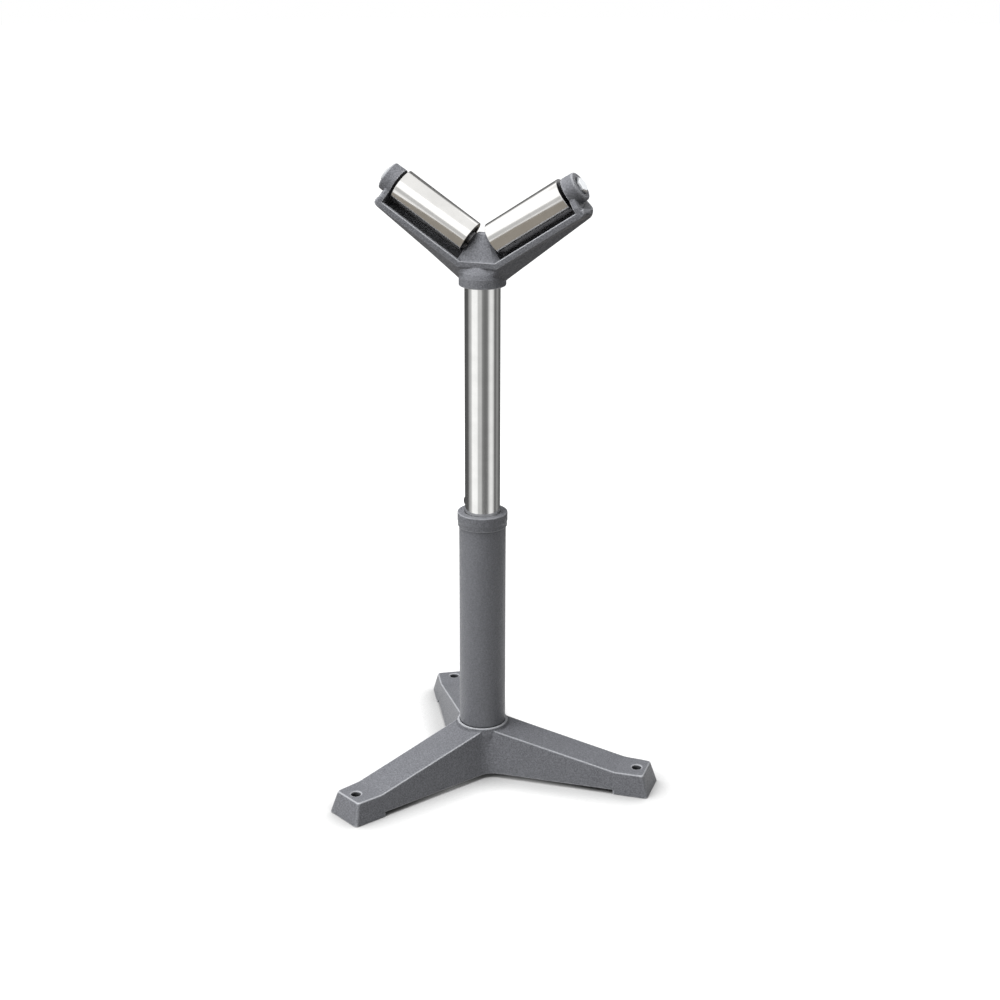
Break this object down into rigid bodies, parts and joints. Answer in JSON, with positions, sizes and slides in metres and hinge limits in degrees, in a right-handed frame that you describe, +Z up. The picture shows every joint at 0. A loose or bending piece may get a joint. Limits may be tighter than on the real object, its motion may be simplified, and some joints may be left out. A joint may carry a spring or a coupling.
{
  "type": "roller stand",
  "caption": "Free-standing pipe support: legged cast base, clamped telescopic column and a cast V head whose steel rollers cradle a pipe and let it turn.",
  "frame": {"origin": "on the floor, at the middle of the stand's bounding box seen from above; the column's axis is the upright line x = -0.0465, y = 0", "axes": "+Z up along the column; +X along the leg that points to the right; the V of the head opens upwards in the XZ plane, so a supported pipe lies along Y"},
  "size_m": [0.3747, 0.4314, 0.7988],
  "materials": {
    "casting_paint": "grey textured enamel on cast iron",
    "tube_paint": "grey textured enamel on steel",
    "chromed_steel": "polished",
    "roller_steel": "ground and polished",
    "zinc_plate": "bright zinc plate",
    "bearing_steel": "ground",
    "seal_rubber": "matt",
    "guide_nylon": "natural nylon",
    "brass": "turned",
    "handle_black": "fine grained"
  },
  "bodies": {
    "base": {"base_casting": "casting_paint", "outer_tube": "tube_paint", "top_collar": "tube_paint", "upper_guide_bush": "guide_nylon"},
    "guide": {"lower_guide_ring": "guide_nylon"},
    "mast": {"inner_tube": "chromed_steel", "lower_circlip": "bearing_steel", "upper_circlip": "bearing_steel", "head_yoke": "casting_paint", "yoke_set_screw": "bearing_steel", "left_axle_bolt": "zinc_plate", "left_axle_washer": "zinc_plate", "left_axle_sleeve": "zinc_plate", "left_inner_spacer": "zinc_plate", "left_outer_spacer": "zinc_plate", "left_inner_bearing_inner_ring": "bearing_steel", "left_outer_bearing_inner_ring": "bearing_steel", "right_axle_bolt": "zinc_plate", "right_axle_washer": "zinc_plate", "right_axle_sleeve": "zinc_plate", "right_inner_spacer": "zinc_plate", "right_outer_spacer": "zinc_plate", "right_inner_bearing_inner_ring": "bearing_steel", "right_outer_bearing_inner_ring": "bearing_steel"},
    "roller_left": {"left_roller": "roller_steel", "left_inner_bearing_outer_ring": "bearing_steel", "left_outer_bearing_outer_ring": "bearing_steel", "left_inner_bearing_seal_a": "seal_rubber", "left_inner_bearing_seal_b": "seal_rubber", "left_outer_bearing_seal_a": "seal_rubber", "left_outer_bearing_seal_b": "seal_rubber"},
    "roller_right": {"right_roller": "roller_steel", "right_inner_bearing_outer_ring": "bearing_steel", "right_outer_bearing_outer_ring": "bearing_steel", "right_inner_bearing_seal_a": "seal_rubber", "right_inner_bearing_seal_b": "seal_rubber", "right_outer_bearing_seal_a": "seal_rubber", "right_outer_bearing_seal_b": "seal_rubber"},
    "cages_left": {"left_inner_bearing_ball_cage": "bearing_steel", "left_outer_bearing_ball_cage": "bearing_steel"},
    "cages_right": {"right_inner_bearing_ball_cage": "bearing_steel", "right_outer_bearing_ball_cage": "bearing_steel"},
    "pad": {"clamp_pad": "brass"},
    "screw": {"clamp_screw": "zinc_plate", "handle_retaining_screw": "zinc_plate", "handle_spring": "zinc_plate"},
    "handle": {"clamp_handle": "handle_black"}
  },
  "joints": [
    {"name": "height_slide", "type": "slide", "parent": "base", "child": "guide", "axis": [0, 0, 1], "range_m": [-0.169, 0.092]},
    {"name": "mast_turn", "type": "hinge", "parent": "guide", "child": "mast", "pos_m": [-0.0465, 0, 0.2], "axis": [0, 0, 1], "continuous": true},
    {"name": "left_roller_spin", "type": "hinge", "parent": "mast", "child": "roller_left", "pos_m": [-0.0465, 0, 0.7022], "axis": [-0.8339, 0, 0.5519], "continuous": true},
    {"name": "right_roller_spin", "type": "hinge", "parent": "mast", "child": "roller_right", "pos_m": [-0.0465, 0, 0.7022], "axis": [0.8339, 0, 0.5519], "continuous": true},
    {"name": "left_cages_spin", "type": "hinge", "parent": "mast", "child": "cages_left", "pos_m": [-0.0465, 0, 0.7022], "axis": [-0.8339, 0, 0.5519], "continuous": true},
    {"name": "right_cages_spin", "type": "hinge", "parent": "mast", "child": "cages_right", "pos_m": [-0.0465, 0, 0.7022], "axis": [0.8339, 0, 0.5519], "continuous": true},
    {"name": "clamp_advance", "type": "slide", "parent": "base", "child": "pad", "axis": [0.5, -0.866, 0], "range_m": [-0.0015, 0]},
    {"name": "clamp_turn", "type": "hinge", "parent": "pad", "child": "screw", "pos_m": [-0.0465, 0, 0.3485], "axis": [0.5, -0.866, 0], "range_deg": [-360, 0]},
    {"name": "handle_lift", "type": "slide", "parent": "screw", "child": "handle", "axis": [-0.5, 0.866, 0], "range_m": [0, 0.004], "stiffness_N_per_m": 800, "springref_m": -0.004, "deforming": ["handle_spring"]}
  ],
  "couplings": [
    {"joint": "left_cages_spin", "follows": "left_roller_spin", "ratio": 0.627},
    {"joint": "right_cages_spin", "follows": "right_roller_spin", "ratio": 0.627},
    {"joint": "clamp_turn", "follows": "clamp_advance", "rad_per_m": 4188.8}
  ]
}
